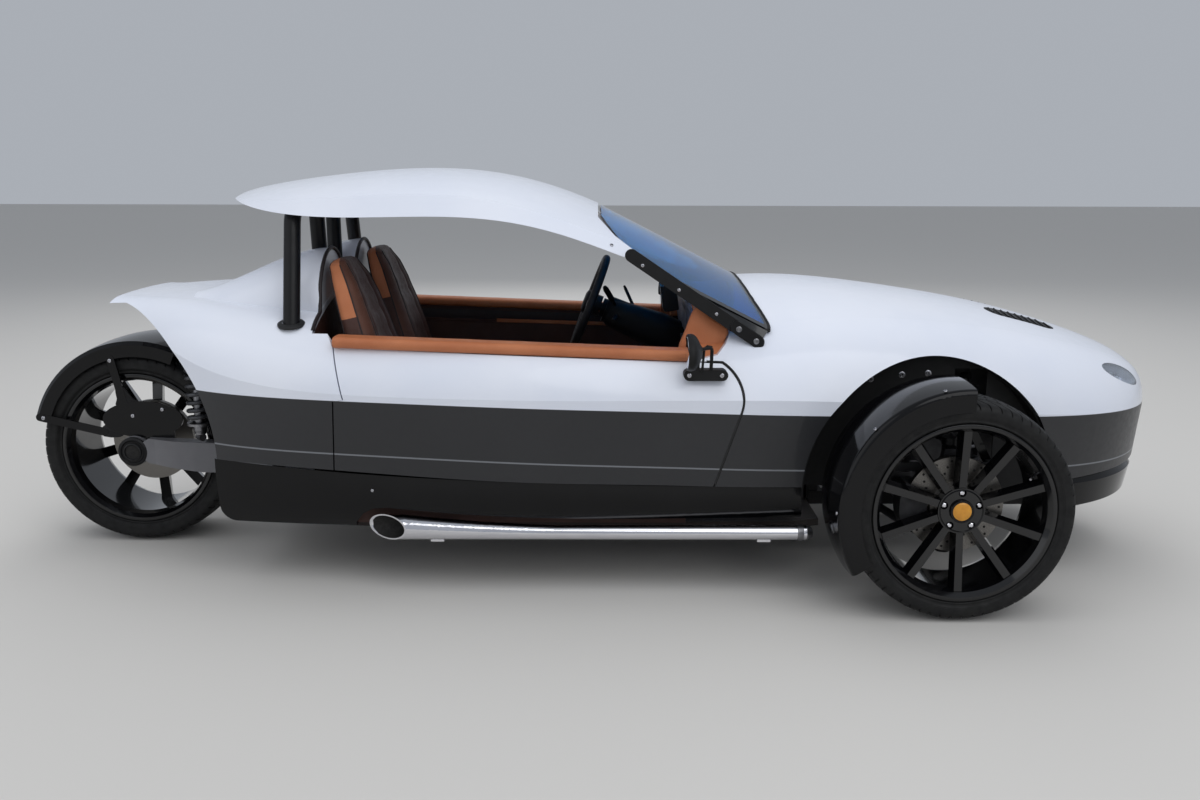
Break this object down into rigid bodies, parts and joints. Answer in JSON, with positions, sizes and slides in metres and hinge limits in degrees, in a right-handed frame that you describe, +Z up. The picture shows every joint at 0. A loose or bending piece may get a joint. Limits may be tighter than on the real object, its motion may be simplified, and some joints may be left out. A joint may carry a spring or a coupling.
{
  "type": "three wheeled roadster",
  "caption": "Low open sports car with two steered front wheels under cycle fenders, one rear wheel on a swing arm, a hard roof cap on hoops and a two-seat cockpit.",
  "frame": {"origin": "on the ground under the middle of the car's length and width", "axes": "+X to the front, +Y to the left, +Z up"},
  "size_m": [3.7126, 1.725, 1.2612],
  "materials": {
    "black_metal": "satin",
    "black_plastic": "matte",
    "cast": "matte",
    "chrome": "polished",
    "disc_steel": "brushed",
    "engine": "matte",
    "glass": "clear",
    "gloss_black": "gloss",
    "leather_black": "matte",
    "leather_brown": "satin",
    "leather_tan": "satin",
    "lens": "clear",
    "paint": "gloss",
    "red_lens": "gloss",
    "rim_black": "gloss",
    "spring_black": "satin",
    "steel": "satin",
    "tyre": "matte"
  },
  "bodies": {
    "body": {"arch_liners": "black_plastic", "bolsters": "leather_tan", "bonnet_vents": "black_plastic", "dashboard": "black_plastic", "engine": "engine", "exhausts": "chrome", "floor_pan": "black_metal", "front_body": "paint", "front_frame": "black_metal", "front_lip": "gloss_black", "grille": "black_plastic", "half_shafts": "steel", "headlamp_lenses": "lens", "left_front_shock": "spring_black", "left_roll_hoop": "black_metal", "left_seat_back": "leather_brown", "left_seat_cushion": "leather_brown", "left_side_panel": "paint", "left_wishbones": "black_metal", "mirrors": "black_plastic", "rear_body": "paint", "rear_bulkhead": "black_metal", "rear_fender": "gloss_black", "rear_frame": "black_metal", "rear_shock": "spring_black", "right_front_shock": "spring_black", "right_roll_hoop": "black_metal", "right_seat_back": "leather_brown", "right_seat_cushion": "leather_brown", "right_side_panel": "paint", "right_wishbones": "black_metal", "roof_cap": "paint", "skirts": "gloss_black", "steering_column": "black_plastic", "swing_arm": "black_metal", "tail_lamps": "red_lens", "windscreen": "glass", "windscreen_frame": "black_plastic"},
    "right_knuckle": {"right_knuckle": "cast", "right_front_fender": "gloss_black"},
    "left_knuckle": {"left_knuckle": "cast", "left_front_fender": "gloss_black"},
    "front_right_wheel": {"front_right_brake_disc": "disc_steel", "front_right_rim": "rim_black", "front_right_tyre": "tyre"},
    "front_left_wheel": {"front_left_brake_disc": "disc_steel", "front_left_rim": "rim_black", "front_left_tyre": "tyre"},
    "rear_wheel": {"rear_brake_disc": "disc_steel", "rear_rim": "rim_black", "rear_tyre": "tyre"},
    "rack": {"steering_rack": "steel"},
    "steering_wheel": {"steering_wheel": "leather_black"}
  },
  "joints": [
    {"name": "steer_right", "type": "hinge", "parent": "body", "child": "right_knuckle", "pos_m": [1.065, -0.6625, 0.32], "axis": [0, 0, 1], "range_deg": [-28, 28]},
    {"name": "steer_left", "type": "hinge", "parent": "body", "child": "left_knuckle", "pos_m": [1.065, 0.6625, 0.32], "axis": [0, 0, 1], "range_deg": [-29, 29]},
    {"name": "front_right_roll", "type": "hinge", "parent": "right_knuckle", "child": "front_right_wheel", "pos_m": [1.065, -0.7375, 0.32], "axis": [0, 1, 0], "continuous": true},
    {"name": "front_left_roll", "type": "hinge", "parent": "left_knuckle", "child": "front_left_wheel", "pos_m": [1.065, 0.7375, 0.32], "axis": [0, 1, 0], "continuous": true},
    {"name": "rear_roll", "type": "hinge", "parent": "body", "child": "rear_wheel", "pos_m": [-1.51, 0, 0.327], "axis": [0, 1, 0], "continuous": true},
    {"name": "rack_slide", "type": "slide", "parent": "body", "child": "rack", "axis": [0, 1, 0], "range_m": [-0.056, 0.056]},
    {"name": "steering_wheel_turn", "type": "hinge", "parent": "body", "child": "steering_wheel", "pos_m": [0.016, 0.27, 0.781], "axis": [-0.9336, 0, 0.3584], "range_deg": [-452, 452]}
  ],
  "couplings": [
    {"joint": "steer_left", "follows": "steer_right", "ratio": 1},
    {"joint": "rack_slide", "follows": "steer_right", "m_per_rad": -0.11},
    {"joint": "steering_wheel_turn", "follows": "steer_right", "ratio": 16}
  ]
}
